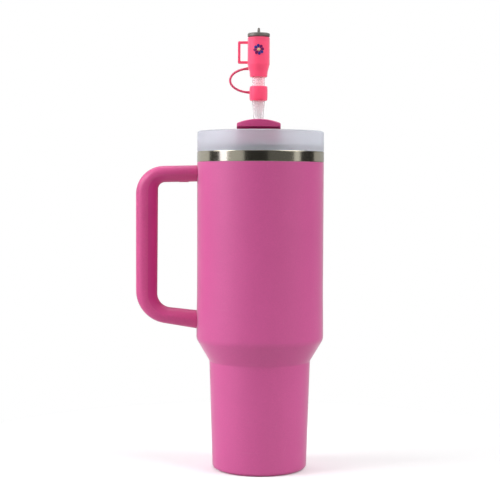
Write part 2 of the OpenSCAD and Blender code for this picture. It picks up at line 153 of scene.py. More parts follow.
def arc(centre, radius, start, end, count=8):
    """Points on a circle round centre, from angle start to end in degrees."""
    angles = [math.radians(start + (end - start) * i / count) for i in range(count + 1)]
    return [(centre[0] + radius * math.cos(a), centre[1] + radius * math.sin(a)) for a in angles]


def rounded(points, radii, count=10):
    """The path with each inner corner turned into an arc of its own radius, 0 leaving it sharp."""
    path = [points[0]]
    for a, b, c, radius in zip(points, points[1:], points[2:], radii[1:]):
        a, b, c = Vector(a), Vector(b), Vector(c)
        if not radius:
            path.append(tuple(b))
            continue
        u, v = (a - b).normalized(), (c - b).normalized()
        half = u.angle(v) / 2
        centre = b + (u + v).normalized() * radius / math.sin(half)
        start = b + u * radius / math.tan(half) - centre
        turn = (math.pi - 2 * half) * (1 if (b - a).cross(c - b) > 0 else -1)
        a0 = math.degrees(math.atan2(start.y, start.x))
        path += arc(centre, radius, a0, a0 + math.degrees(turn), count)
    return path + [points[-1]]


def wall(inset, low_z, low_r, top_z, first):
    """Side of the vessel from its base up to top_z, inset towards the axis."""
    points = [
        first,
        (BASE_R - inset, low_z),
        (NECK_R - inset, NECK_Z),
        (SHOULDER_R - inset, SHOULDER_Z),
        (BODY_R - inset, FLARE_Z),
        (BODY_R - inset, top_z),
    ]
    return rounded(points, [0, low_r, 3, 9, 400, 0])


# ---- Modelling ----

def fresh():
    """Object mode with nothing selected."""
    if bpy.context.mode != "OBJECT":
        bpy.ops.object.mode_set(mode="OBJECT")
    bpy.ops.object.select_all(action="DESELECT")


def activate(piece):
    """Leaves piece as the only one selected, ready for the next step."""
    fresh()
    piece.select_set(True)
    bpy.context.view_layer.objects.active = piece


def settle(name):
    """Leaves edit mode, names the new piece and puts its place into its mesh."""
    bpy.ops.object.mode_set(mode="OBJECT")
    bpy.ops.object.transform_apply(location=True, rotation=True, scale=True)
    piece = bpy.context.object
    piece.name = piece.data.name = name
    return piece


def weld():
    """Merges points that lie on each other and turns every face outwards."""
    bpy.ops.mesh.select_all(action="SELECT")
    bpy.ops.mesh.remove_doubles(threshold=0.002 * MM)
    bpy.ops.mesh.normals_make_consistent(inside=False)


def draw(outline, start, closed):
    """In edit mode, a chain of edges through outline, whose first point lies at start."""
    fresh()
    bpy.ops.mesh.primitive_plane_add(size=MM, location=start)
    bpy.ops.object.mode_set(mode="EDIT")
    bpy.ops.mesh.select_all(action="SELECT")
    bpy.ops.mesh.merge(type="CENTER")
    for (r0, z0), (r1, z1) in zip(outline, outline[1:] + outline[:closed]):
        step = Vector((r1 - r0, 0, z1 - z0)) * MM
        bpy.ops.mesh.extrude_region_move(TRANSFORM_OT_translate={"value": step})
    bpy.ops.mesh.select_all(action="SELECT")


def lathe(name, outline, axis_x=0.0, steps=SMALL):
    """An outline of (radius, height) points spun round a vertical axis.

    One that starts and ends on the axis is left open there, and any other is closed.
    """
    start = Vector((axis_x + outline[0][0], 0, outline[0][1])) * MM
    draw(outline, start, 1 if outline[0][0] or outline[-1][0] else 0)
    bpy.ops.mesh.spin(steps=steps, angle=math.tau, center=(axis_x * MM, 0, 0), axis=(0, 0, 1))
    weld()
    return settle(name)


def sweep(name, stations, half_width, corner=0.0, profile=0.5, taper=0.0, segments=6):
    """A bar through stations, each a pair of points (x, z): its inner and its outer edge.

    Its section starts as a unit square with each corner rounded, and is then drawn out to size.
    """
    fresh()
    (ax, az), (bx, bz) = stations[0]
    centre = Vector(((ax + bx) / 2, 0, (az + bz) / 2))
    reach = math.hypot(bx - ax, bz - az)
    angle = math.atan2(bz - az, bx - ax)
    here = centre * MM
    bpy.ops.mesh.primitive_plane_add(size=MM, location=here)
    bpy.ops.object.mode_set(mode="EDIT")
    bpy.ops.mesh.select_all(action="SELECT")
    if corner:
        bpy.ops.mesh.bevel(offset=corner * MM, segments=segments, profile=profile, affect="VERTICES")
        bpy.ops.mesh.select_all(action="SELECT")
    if taper:
        narrow_inside(here, taper)
    bpy.ops.transform.resize(value=(reach, 2 * half_width, 1), center_override=here)
    bpy.ops.transform.rotate(value=angle, orient_axis="Y", center_override=here)
    for (ax, az), (bx, bz) in stations[1:]:
        new_centre = Vector(((ax + bx) / 2, 0, (az + bz) / 2))
        new_reach = math.hypot(bx - ax, bz - az)
        new_angle = math.atan2(bz - az, bx - ax)
        bpy.ops.mesh.extrude_region_move(TRANSFORM_OT_translate={"value": (new_centre - centre) * MM})
        here = new_centre * MM
        bpy.ops.transform.rotate(value=-angle, orient_axis="Y", center_override=here)
        bpy.ops.transform.resize(value=(new_reach / reach, 1, 1), center_override=here)
        bpy.ops.transform.rotate(value=new_angle, orient_axis="Y", center_override=here)
        centre, reach, angle = new_centre, new_reach, new_angle
    weld()
    return settle(name)


def narrow_inside(here, taper, rows=8):
    """Draws the inner part of a flat section in, row after row, so that it is narrower there."""
    mesh = bpy.context.object.data
    for i in range(rows):
        edge = (-0.08 - 0.42 * i / rows) * MM
        bpy.ops.object.mode_set(mode="OBJECT")
        for group_of in (mesh.vertices, mesh.edges, mesh.polygons):
            group_of.foreach_set("select", [False] * len(group_of))
        for v in mesh.vertices:
            v.select = v.co.x < edge
        bpy.ops.object.mode_set(mode="EDIT")
        bpy.ops.transform.resize(value=(1, 1 - taper / rows, 1), center_override=here)
    bpy.ops.mesh.select_all(action="SELECT")


def block(low, high, rounding=0.0):
    """A box between two corners, in millimetres, with its upright edges rounded."""
    fresh()
    low, high = Vector(low), Vector(high)
    base = Vector(((low.x + high.x) / 2, (low.y + high.y) / 2, low.z))
    bpy.ops.mesh.primitive_plane_add(size=MM, location=base * MM)
    bpy.ops.object.mode_set(mode="EDIT")
    bpy.ops.mesh.select_all(action="SELECT")
    bpy.ops.transform.resize(value=(high.x - low.x, high.y - low.y, 1), center_override=base * MM)
    if rounding:
        bpy.ops.mesh.bevel(offset=rounding * MM, segments=12, profile=0.5, affect="VERTICES")
    bpy.ops.mesh.extrude_region_move(TRANSFORM_OT_translate={"value": (0, 0, (high.z - low.z) * MM)})
    weld()
    return settle("cutter")


def rod(radius, start, end, steps=SMALL):
    """A plain cylinder between two points, in millimetres, to cut or to join with."""
    fresh()
    start, end = Vector(start), Vector(end)
    along = end - start
    turn = along.to_track_quat("Z", "Y").to_euler()
    bpy.ops.mesh.primitive_cylinder_add(
        vertices=steps, radius=radius * MM, depth=along.length * MM,
        location=(start + end) / 2 * MM, rotation=turn)
    return settle("cutter")


def combine(piece, tool, operation="DIFFERENCE"):
    """Cuts, joins or crosses piece with tool, which is then thrown away."""
    activate(piece)
    step = piece.modifiers.new("combine", "BOOLEAN")
    step.operation = operation
    step.solver = "EXACT"
    step.object = tool
    bpy.ops.object.modifier_apply(modifier=step.name)
    bpy.data.objects.remove(tool)
    return piece


def soften(piece, width, segments=3, angle=40):
    """Rounds the edges that are sharper than the angle."""
    activate(piece)
    step = piece.modifiers.new("soften", "BEVEL")
    step.width = width * MM
    step.segments = segments
    step.limit_method = "ANGLE"
    step.angle_limit = math.radians(angle)
    step.harden_normals = False
    bpy.ops.object.modifier_apply(modifier=step.name)
    return piece


def shade_evenly(piece, smooth):
    """Smooth shading below the angle, with broad faces kept flat beside their rounded edges."""
    activate(piece)
    bpy.ops.object.shade_smooth_by_angle(angle=math.radians(smooth))
    step = piece.modifiers.new("even", "WEIGHTED_NORMAL")
    step.keep_sharp = True
    bpy.ops.object.modifier_apply(modifier=step.name)


def finish_piece(piece, material, body, stands_for, smooth=32):
    """Shades and colours a piece, and lets it ride its body in place of the CAD nodes it stands for."""
    shade_evenly(piece, smooth)
    piece.data.materials.clear()
    piece.data.materials.append(material)
    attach(piece, body)
    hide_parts(*stands_for)
    return piece


# ---- Materials ----

def group(name, inputs, outputs):
    """An empty shader node group with float inputs and outputs, as (tree, input node, output node)."""
    tree = bpy.data.node_groups.new(name, "ShaderNodeTree")
    for label, value in inputs:
        socket = tree.interface.new_socket(label, in_out="INPUT", socket_type="NodeSocketFloat")
        socket.default_value = value
    for label in outputs:
        tree.interface.new_socket(label, in_out="OUTPUT", socket_type="NodeSocketFloat")
    return tree, tree.nodes.new("NodeGroupInput"), tree.nodes.new("NodeGroupOutput")


def noise(tree, scale, detail=3.0, roughness=0.55, stretch=(1, 1, 1)):
    """Object-space noise at scale (a socket or a number), stretched along the axes."""
    place = tree.nodes.new("ShaderNodeTexCoord")
    mapping = tree.nodes.new("ShaderNodeMapping")
    mapping.inputs["Scale"].default_value = stretch
    texture = tree.nodes.new("ShaderNodeTexNoise")
    texture.inputs["Detail"].default_value = detail
    texture.inputs["Roughness"].default_value = roughness
    tree.links.new(place.outputs["Object"], mapping.inputs["Vector"])
    tree.links.new(mapping.outputs["Vector"], texture.inputs["Vector"])
    if isinstance(scale, bpy.types.NodeSocket):
        tree.links.new(scale, texture.inputs["Scale"])
    else:
        texture.inputs["Scale"].default_value = scale
    return texture.outputs["Fac"]


def coordinates(tree):
    """The three object coordinates of the point being shaded, by axis."""
    place = tree.nodes.new("ShaderNodeTexCoord")
    split = tree.nodes.new("ShaderNodeSeparateXYZ")
    tree.links.new(place.outputs["Object"], split.inputs["Vector"])
    return split.outputs


def maths(tree, operation, a, b=0.0, c=0.0):
    """One sum on up to three sockets or numbers."""
    node = tree.nodes.new("ShaderNodeMath")
    node.operation = operation
    for socket, value in zip(node.inputs, (a, b, c)):
        if isinstance(value, bpy.types.NodeSocket):
            tree.links.new(value, socket)
        else:
            socket.default_value = value
    return node.outputs[0]


def spread(tree, value, low, high, to_low=0.0, to_high=1.0):
    """value mapped from low..high to to_low..to_high, and held inside it."""
    node = tree.nodes.new("ShaderNodeMapRange")
    node.inputs["From Min"].default_value = low
    node.inputs["From Max"].default_value = high
    node.inputs["To Min"].default_value = to_low
    node.inputs["To Max"].default_value = to_high
    tree.links.new(value, node.inputs["Value"])
    return node.outputs["Result"]


def grain_group():
    """Fine pimples of a sprayed or moulded skin, with slow blotches under them."""
    tree, given, out = group("skin_grain", [("Scale", 1200.0), ("Blotch scale", 30.0)], ["Grain", "Blotch"])
    coarse = noise(tree, given.outputs["Scale"], 2.0, 0.6)
    finer = noise(tree, maths(tree, "MULTIPLY", given.outputs["Scale"], 2.3), 1.0, 0.5)
    both = maths(tree, "ADD", maths(tree, "MULTIPLY", coarse, 0.6), maths(tree, "MULTIPLY", finer, 0.4))
    tree.links.new(spread(tree, both, 0.3, 0.7), out.inputs["Grain"])
    blotch = noise(tree, given.outputs["Blotch scale"], 4.0, 0.6)
    tree.links.new(spread(tree, blotch, 0.3, 0.7), out.inputs["Blotch"])
    return tree


def handling_group():
    """Marks of use: smudges from hands, and short fine scratches."""
    tree, given, out = group("handling_marks", [("Smudge scale", 18.0), ("Scratch scale", 60.0)],
                             ["Smudge", "Scratch"])
    smudge = noise(tree, given.outputs["Smudge scale"], 5.0, 0.65, (1, 1, 0.6))
    tree.links.new(spread(tree, smudge, 0.48, 0.72), out.inputs["Smudge"])
    run = noise(tree, given.outputs["Scratch scale"], 2.0, 0.5, (1, 1, 14))
    other = noise(tree, given.outputs["Scratch scale"], 2.0, 0.5, (9, 9, 1))
    lines = maths(tree, "MAXIMUM", spread(tree, run, 0.69, 0.74), spread(tree, other, 0.7, 0.75))
    tree.links.new(lines, out.inputs["Scratch"])
    return tree


def brushed_group():
    """Lines that run round an upright axis, as a polishing belt leaves them."""
    tree, given, out = group("brushed_round", [("Pitch", 5200.0)], ["Line", "Cloud"])
    at = coordinates(tree)
    turn = maths(tree, "ARCTAN2", at["Y"], at["X"])
    x_squared, y_squared = (maths(tree, "MULTIPLY", at[axis], at[axis]) for axis in "XY")
    radius = maths(tree, "SQRT", maths(tree, "ADD", x_squared, y_squared))
    across = maths(tree, "MULTIPLY", maths(tree, "ADD", at["Z"], radius), given.outputs["Pitch"])
    join = tree.nodes.new("ShaderNodeCombineXYZ")
    tree.links.new(maths(tree, "MULTIPLY", turn, 6.0), join.inputs["X"])
    tree.links.new(across, join.inputs["Y"])
    texture = tree.nodes.new("ShaderNodeTexNoise")
    texture.inputs["Scale"].default_value = 1.0
    texture.inputs["Detail"].default_value = 3.0
    tree.links.new(join.outputs["Vector"], texture.inputs["Vector"])
    tree.links.new(spread(tree, texture.outputs["Fac"], 0.3, 0.7), out.inputs["Line"])
    tree.links.new(spread(tree, noise(tree, 40.0, 4.0), 0.3, 0.7), out.inputs["Cloud"])
    return tree


GRAIN = grain_group()
HANDLING = handling_group()
BRUSHED = brushed_group()


def blank(name, **uniform):
    """A material with a Principled shader whose even values are set on its own sockets."""
    material = bpy.data.materials.new(name)
    material.use_nodes = True
    tree = material.node_tree
    shader = tree.nodes["Principled BSDF"]
    for label, value in uniform.items():
        shader.inputs[label.replace("_", " ")].default_value = value
    return material, tree, shader


def use(tree, made, **values):
    """A copy of a shared effect in this material, with its own values."""
    node = tree.nodes.new("ShaderNodeGroup")
    node.node_tree = made
    for label, value in values.items():
        node.inputs[label.replace("_", " ")].default_value = value
    return node


def tint(tree, factor, low, high):
    """Colour mixed from low to high by factor."""
    node = tree.nodes.new("ShaderNodeMix")
    node.data_type = "RGBA"
    tree.links.new(factor, node.inputs[0])
    for socket, colour in ((node.inputs[6], low), (node.inputs[7], high)):
        if isinstance(colour, bpy.types.NodeSocket):
            tree.links.new(colour, socket)
        else:
            socket.default_value = (*colour, 1)
    return node.outputs[2]


def bump(tree, shader, height, strength, distance):
    """Raises the surface by height, up to distance in millimetres."""
    node = tree.nodes.new("ShaderNodeBump")
    node.inputs["Strength"].default_value = strength
    node.inputs["Distance"].default_value = distance * MM
    tree.links.new(height, node.inputs["Height"])
    tree.links.new(node.outputs["Normal"], shader.inputs["Normal"])


def shade(colour, factor):
    """The colour made darker or paler by factor."""
    return tuple(min(1.0, c * factor) for c in colour)


def skin(name, colour, rough, grain, depth=(0.2, 0.05), scuff=0.0, speckle=0.05, **uniform):
    """Painted or moulded skin: fine grain, slow blotches, smudges, and scratches paler than the skin.

    depth is the strength of the bumps and their height in millimetres.
    """
    material, tree, shader = blank(name, **uniform)
    fine = use(tree, GRAIN, Scale=grain)
    marks = use(tree, HANDLING)
    base = tint(tree, fine.outputs["Grain"], shade(colour, 1 - speckle), shade(colour, 1 + speckle))
    mottled = tint(tree, maths(tree, "MULTIPLY", fine.outputs["Blotch"], 0.5), base, shade(colour, 0.93))
    pale = tuple(c * 0.6 + 0.35 for c in colour)
    scratched = tint(tree, maths(tree, "MULTIPLY", marks.outputs["Scratch"], scuff), mottled, pale)
    tree.links.new(scratched, shader.inputs["Base Color"])
    wear = maths(tree, "MULTIPLY_ADD", marks.outputs["Smudge"], -0.35, fine.outputs["Grain"])
    tree.links.new(spread(tree, wear, -0.35, 1, *rough), shader.inputs["Roughness"])
    bump(tree, shader, fine.outputs["Grain"], *depth)
    return material


def metal(name, colour, rough, pitch=5200.0):
    """Polished steel with belt lines round the axis and a slight cloud."""
    material, tree, shader = blank(name, Metallic=1.0)
    lines = use(tree, BRUSHED, Pitch=pitch)
    marks = use(tree, HANDLING)
    base = tint(tree, lines.outputs["Line"], shade(colour, 0.93), shade(colour, 1.04))
    clouded = tint(tree, maths(tree, "MULTIPLY", lines.outputs["Cloud"], 0.4), base, shade(colour, 0.92))
    tree.links.new(clouded, shader.inputs["Base Color"])
    wear = maths(tree, "MULTIPLY_ADD", marks.outputs["Smudge"], 0.5, lines.outputs["Line"])
    tree.links.new(spread(tree, wear, 0, 1.5, *rough), shader.inputs["Roughness"])
    bump(tree, shader, lines.outputs["Line"], 0.15, 0.02)
    return material


def cover_plastic():
    """The cover's moulded pink, darker down in the finger groove, where light doesn't reach."""
    material = skin("pink_cover_plastic", (0.64, 0.076, 0.25), (0.28, 0.38), 1800.0, (0.08, 0.02), 0.05)
    tree = material.node_tree
    shader = tree.nodes["Principled BSDF"]
    at = coordinates(tree)
    low = spread(tree, at["Z"], (FINGER_LOW_Z - 0.2) * MM, (FINGER_LOW_Z + 0.4) * MM)
    high = spread(tree, at["Z"], (FINGER_TOP_Z + 0.05) * MM, (FINGER_TOP_Z - 0.1) * MM)
    off_middle = maths(tree, "ABSOLUTE", at["Y"])
    deep = spread(tree, off_middle, (COVER_R - 1.2) * MM, (COVER_R - 2.0) * MM)
    ends = spread(tree, off_middle, 24 * MM, 30 * MM)
    mask = maths(tree, "MULTIPLY", maths(tree, "MULTIPLY", low, high), maths(tree, "MULTIPLY", deep, ends))
    plain = shader.inputs["Base Color"].links[0].from_socket
    tree.links.new(tint(tree, maths(tree, "MULTIPLY", mask, 0.85), plain, (0.34, 0.016, 0.12)),
                   shader.inputs["Base Color"])
    return material


def shaded_grip_material():
    """Painted shade for the grip's inner strip, which faces the vessel: a deeper pink without sheen,
    standing in for its shade and the pink light thrown back by the vessel, which fades into the grip's own
    pink along the arms.
    """
    material = skin("pink_grip_painted_shade", (0.64, 0.07, 0.255), (0.42, 0.55), 1000.0, (0.2, 0.04), 0.04, 0.11)
    tree = material.node_tree
    shader = tree.nodes["Principled BSDF"]
    at = coordinates(tree)
    # Deeper still on the upright part: more painted shade and pink bounce from the vessel
    along = spread(tree, at["X"], (HANDLE_X + 28) * MM, (HANDLE_X + 15) * MM)
    plain = shader.inputs["Base Color"].links[0].from_socket
    tree.links.new(tint(tree, along, plain, (0.62, 0.04, 0.24)), shader.inputs["Base Color"])
    return material


def straw_plastic():
    """The straw's cloudy clear plastic, with a painted pink reflection of the silicone round its upper end
    and a faint painted glow there.
    """
    material = skin("clear_straw", (0.97, 0.95, 0.96), (0.2, 0.3), 1500.0, (0.05, 0.02), 0.1,
                    Transmission_Weight=0.75, IOR=1.3)
    tree = material.node_tree
    shader = tree.nodes["Principled BSDF"]
    at = coordinates(tree)
    # Painted reflection: pink from the silicone collar, growing towards its top
    near = spread(tree, at["Z"], (CROWN_Z + 7) * MM, COLLAR_TOP_Z * MM)
    plain = shader.inputs["Base Color"].links[0].from_socket
    tree.links.new(tint(tree, near, plain, (1.0, 0.79, 0.825)), shader.inputs["Base Color"])
    # Painted glow: faint pink light added near the collar, though the straw is no lamp
    glow = spread(tree, at["Z"], (COLLAR_LOW_Z - 3) * MM, COLLAR_TOP_Z * MM)
    tree.links.new(tint(tree, glow, (0, 0, 0), (0.05, 0.025, 0.03)), shader.inputs["Emission Color"])
    shader.inputs["Emission Strength"].default_value = 1
    return material


POWDER_COAT = skin("pink_powder_coat", (0.655, 0.1, 0.317), (0.42, 0.56), 900.0, (0.35, 0.08), 0.05, 0.065,
                   Sheen_Weight=0.7, Sheen_Roughness=0.3)
GRIP = skin("pink_soft_grip", (0.64, 0.07, 0.255), (0.42, 0.55), 1000.0, (0.2, 0.04), 0.04, 0.11,
            Sheen_Weight=0.3, Sheen_Roughness=0.35)
# Painted shade material for the grip's inner strip
GRIP_PAINTED_SHADE = shaded_grip_material()
COVER = cover_plastic()
STEEL = metal("brushed_steel", (0.64, 0.60, 0.485), (0.13, 0.22))
HIDDEN_STEEL = metal("bracket_steel", (0.5, 0.5, 0.5), (0.35, 0.5), 2500.0)
CORE = skin("nylon_core", (0.09, 0.085, 0.09), (0.5, 0.62), 1600.0)
GETTER = skin("sintered_getter", (0.03, 0.03, 0.032), (0.7, 0.85), 2400.0, (0.6, 0.1))
LID = skin("frosted_lid", (0.79, 0.81, 0.86), (0.52, 0.64), 1400.0, (0.15, 0.03), 0.1,
           Transmission_Weight=0.68, IOR=1.4)
SEAL = skin("clear_silicone", (0.85, 0.86, 0.88), (0.42, 0.55), 1800.0, (0.1, 0.02),
            Transmission_Weight=0.4, IOR=1.41)
STRAW = straw_plastic()
# The silicone's faint emission is painted light, brightening it as if light scattered through it
SILICONE = skin("coral_silicone_painted_glow", (1.0, 0.095, 0.215), (0.42, 0.52), 2000.0, (0.12, 0.02),
                Transmission_Weight=0.15, IOR=1.3, Sheen_Weight=0.9, Sheen_Roughness=0.4,
                Emission_Color=(1.0, 0.10, 0.22, 1.0), Emission_Strength=0.165)
STRAP = skin("coral_strap", (0.86, 0.085, 0.2), (0.42, 0.52), 2000.0, (0.12, 0.02), Sheen_Weight=0.4)
MINI_METAL = skin("mini_lid_metal", (0.20, 0.19, 0.172), (0.48, 0.6), 1800.0, (0.1, 0.02), 0.05,
                  Metallic=0.45)
PETAL_BLUE = skin("petal_blue", (0.03, 0.04, 0.29), (0.3, 0.42), 2500.0, (0.1, 0.02))
PETAL_PURPLE = skin("petal_purple", (0.19, 0.012, 0.13), (0.3, 0.42), 2500.0, (0.1, 0.02))
CREAM = skin("flower_cream", (1.0, 0.62, 0.32), (0.35, 0.45), 2500.0, (0.1, 0.02))


# ---- Vessel ----

def vessel_wall():
    """The coated outer wall, from the foot ring up to the bare band."""
    outside = wall(0, 0, 3, BAND_Z - 0.35, (FOOT_R, 0))
    inside = wall(WALL, WALL, 2.4, BAND_Z - 1, (FOOT_R, WALL))
    lip = [(BODY_R - 0.1, BAND_Z - 0.1), (BODY_R - 0.35, BAND_Z), (BODY_R - WALL, BAND_Z)]
    piece = lathe("vessel_wall", outside + lip + inside[::-1], steps=FINE)
    return finish_piece(piece, POWDER_COAT, "tumbler", ["outer_shell"])


def vessel_liner():
    """The drinking wall and the bare rim that its top edge rolls over into."""
    inside = wall(LINER_INSET + WALL, FLOOR_UNDER_Z + WALL, 6, RIM_Z - 1.2, (0, FLOOR_UNDER_Z + WALL))
    outside = wall(LINER_INSET, FLOOR_UNDER_Z, 6.6, RIM_Z - 2, (0, FLOOR_UNDER_Z))
    roll = arc((LINER_R + 1.2, RIM_Z - 1.2), 1.2, 180, 90, 6)
    roll += arc((BODY_R - 0.45, RIM_Z - 0.45), 0.45, 90, 0, 6)
    skirt = [(BODY_R, BAND_Z + 0.35), (BODY_R - 0.1, BAND_Z + 0.1), (BODY_R - 0.35, BAND_Z),
             (BODY_R - WALL, BAND_Z)]
    under = [(BODY_R - WALL, RIM_Z - WALL - 0.3), (LINER_R + WALL, RIM_Z - WALL - 0.3)]
    piece = lathe("inner_liner_and_rim", inside[:-1] + roll + skirt + under + outside[::-1], steps=FINE)
    return finish_piece(piece, STEEL, "tumbler", ["inner_liner"])


def base_plate():
    """The disc in the foot, with two turned rings."""
    low_z, high_z = (c.z for c in corners("base_disc"))
    edge_r = corners("base_disc")[1].x
    outline = [(0, low_z), (9, low_z), (9.4, low_z + 0.25), (10, low_z + 0.25), (10.4, low_z), (21, low_z),
               (21.4, low_z + 0.25), (22, low_z + 0.25), (22.4, low_z), (edge_r - 0.6, low_z)]
    outline += arc((edge_r - 0.5, low_z + 0.5), 0.5, -90, 0, 5) + [(edge_r, high_z), (0, high_z)]
    return finish_piece(lathe("base_plate", outline), STEEL, "tumbler", ["base_disc"])


# ---- Handle ----

def handle_edges(skin_t, end_x):
    """Pairs of points (x, z) on the inner and the outer edge of the handle, pulled in by skin_t."""
    reach, top, low = HANDLE_X, HANDLE_TOP_Z - ARM_RISE, HANDLE_LOW_Z + ARM_DROP
    inner_x = reach + GRIP_T
    outside = rounded(
        [(end_x, HANDLE_TOP_Z - skin_t), (reach + skin_t, top - skin_t),
         (reach + skin_t, low + skin_t), (end_x, HANDLE_LOW_Z + skin_t)],
        [0, TOP_CORNER_R - skin_t, LOW_CORNER_R - skin_t, 0], 16)
    inside = rounded(
        [(end_x, top - UPPER_ARM_T + 0.8 + skin_t), (inner_x - skin_t, top - UPPER_ARM_T + skin_t),
         (inner_x - 0.7 - skin_t, low + LOWER_ARM_T - skin_t),
         (end_x, low - ARM_DROP + LOWER_ARM_T + 4.5 - skin_t)],
        [0, GAP_TOP_R + skin_t, GAP_LOW_R + skin_t, 0], 16)
    return list(zip(inside, outside))


def handle_grip():
    """The soft grip, with painted shade, a deeper pink, on the strip that faces the vessel."""
    edges = handle_edges(0, -BODY_R + 1.5)
    piece = sweep("handle_soft_grip", edges, HANDLE_HALF_W, 0.4999, 0.587, 0.2, 16)
    combine(piece, sweep("core_space", handle_edges(CORE_SKIN, -BODY_R - 1.8), CORE_HALF_W))
    grown = wall(-0.3, 60, 0, 245, (0, 60))
    combine(piece, lathe("vessel_space", grown + [(0, 245)], steps=FINE))
    low, high = corners("handle_screws")
    screw_x = (low.x + high.x) / 2
    # Room under the tip of the lower screw
    combine(piece, rod(SCREW_ROOM_R, (screw_x, 0, low.z - 1.5), (screw_x, 0, low.z + 1.2)))
    finish_piece(piece, GRIP, "tumbler", ["handle_grip"], 40)
    # The strip that faces the vessel gets the painted shade material
    piece.data.materials.append(GRIP_PAINTED_SHADE)
    spans = [[(p + q) / 2 for p, q in zip(a + b, c + d)] for (a, b), (c, d) in zip(edges, edges[1:])]
    for face in piece.data.polygons:
        x, z = face.center.x / MM, face.center.z / MM
        ax, az, bx, bz = min(spans, key=lambda e: math.hypot((e[0] + e[2]) / 2 - x, (e[1] + e[3]) / 2 - z))
        across = ((x - ax) * (bx - ax) + (z - az) * (bz - az)) / ((bx - ax) ** 2 + (bz - az) ** 2)
        face.material_index = int(across < PAINTED_SHADE_STRIP)
    return piece


# ---- Lid ----

def lid_shell():
    """The frosted lid: a round well with a plug skirt, a hub hole, a drinking port and a vent."""
    outline = [(0, DECK_Z - DECK_T)]
    outline += arc((SKIRT_R - SKIRT_T - 2, DECK_Z - DECK_T - 2), 2, 90, 0, 6)
    outline += [(SKIRT_R - SKIRT_T, SKIRT_Z), (SKIRT_R - 0.6, SKIRT_Z), (SKIRT_R, SKIRT_Z + 0.6),
                (SKIRT_R, GROOVE_Z), (SKIRT_R - GROOVE_D, GROOVE_Z),
                (SKIRT_R - GROOVE_D, GROOVE_Z + GROOVE_H), (SKIRT_R, GROOVE_Z + GROOVE_H),
                (SKIRT_R, RIM_Z)]
    outline += arc((LID_R - 0.25, RIM_Z + 0.25), 0.25, -90, 0, 4)
    outline += arc((LID_R - 1.5, LID_TOP_Z - 1.5), 1.5, 0, 90, 8)
    outline += arc((RECESS_R + 0.9, LID_TOP_Z - 0.9), 0.9, 90, 180, 6)
    outline += arc((RECESS_R - 1.2, DECK_Z + 1.2), 1.2, 0, -90, 6) + [(0, DECK_Z)]
    piece = lathe("lid_shell", outline, steps=FINE)
    under, over = DECK_Z - DECK_T - 1, DECK_Z + 1
    combine(piece, rod(ORING_SEAT_R, (AXIS_X, 0, DECK_Z - ORING_SEAT_D), (AXIS_X, 0, over)))
    combine(piece, rod(HUB_HOLE_R, (AXIS_X, 0, under), (AXIS_X, 0, over)))
    port_low = (AXIS_X - PORT_W / 2, PORT_Y - PORT_D / 2, under)
    port_high = (AXIS_X + PORT_W / 2, PORT_Y + PORT_D / 2, over)
    combine(piece, block(port_low, port_high, PORT_D / 2 - 0.01))
    combine(piece, rod(VENT_R, (AXIS_X, -PORT_Y, under), (AXIS_X, -PORT_Y, over), 48))
    return finish_piece(piece, LID, "lid", ["lid_body"], 40)


def lid_gasket():
    """The seal in the skirt's groove, with two lips that press on the liner."""
    lip_r = LINER_R - 0.15
    low = GROOVE_Z + 0.1
    outline = [(SKIRT_R - GROOVE_D, low), (SKIRT_R, low)]
    for z in (low + 0.8, low + 3.0):
        outline += [(lip_r - 0.2, z - 0.1), (lip_r, z), (lip_r - 0.2, z + 0.1)]
        if z < low + 1:
            outline += [(SKIRT_R, low + 1.6), (SKIRT_R, low + 2.2)]
    outline += [(SKIRT_R, low + GROOVE_H - 0.2), (SKIRT_R - GROOVE_D, low + GROOVE_H - 0.2)]
    piece = lathe("lid_gasket_ring", outline, steps=FINE)
    return finish_piece(piece, SEAL, "lid", ["lid_gasket"])


# ---- Rotating cover ----

def crowned_bar(name, inset, low_z, reach, corner, edge):
    """The cover's bar under its arched crown, set in by inset, with ends on a circle of radius reach."""
    half = COVER_W / 2 - inset
    crown_r = ((COVER_W / 2 - 1) ** 2 + CROWN_RISE ** 2) / (2 * CROWN_RISE)
    middle = CROWN_Z - crown_r
    side = half - corner
    rise = math.sqrt((crown_r - inset - corner) ** 2 - side ** 2)
    lean = math.degrees(math.atan2(rise, side))
    section = arc((side, low_z + corner), corner, -90, 0, 6)
    section += arc((side, middle + rise), corner, 0, lean, 6)
    section += arc((0, middle), crown_r - inset, lean, 180 - lean, 32)[1:-1]
    section += arc((-side, middle + rise), corner, 180 - lean, 180, 6)
    section += arc((-side, low_z + corner), corner, 180, 270, 6)
    start = Vector((AXIS_X + section[0][0], edge - reach, section[0][1])) * MM
    draw(section, start, 1)
    bpy.ops.mesh.remove_doubles(threshold=0.002 * MM)
    bpy.ops.mesh.edge_face_add()
    bpy.ops.mesh.extrude_region_move(TRANSFORM_OT_translate={"value": (0, 2 * (reach - edge) * MM, 0)})
    weld()
    round_ends(edge)
    slice_across(half)
    bow_ends(reach)
    return settle(name)


def round_ends(edge, rings=4):
    """Insets both flat ends in rings that turn their edge into a quarter circle."""
    mesh = bpy.context.object.data
    bpy.ops.mesh.select_mode(type="FACE")
    bpy.ops.mesh.select_all(action="DESELECT")
    bpy.ops.object.mode_set(mode="OBJECT")
    for face in mesh.polygons:
        face.select = len(face.vertices) > 8
    bpy.ops.object.mode_set(mode="EDIT")
    for i in range(rings):
        a, b = (math.radians(90 * k / rings) for k in (i, i + 1))
        bpy.ops.mesh.inset(thickness=edge * (math.cos(a) - math.cos(b)) * MM,
                           depth=edge * (math.sin(b) - math.sin(a)) * MM)
    bpy.ops.mesh.select_mode(type="VERT")


def slice_across(half, strips=32):
    """Cuts the bar into lengthwise strips, so that its ends can follow a curve."""
    for i in range(1, strips):
        x = AXIS_X + half * (2 * i / strips - 1)
        bpy.ops.mesh.select_all(action="SELECT")
        bpy.ops.mesh.bisect(plane_co=(x * MM, 0, 0), plane_no=(1, 0, 0))


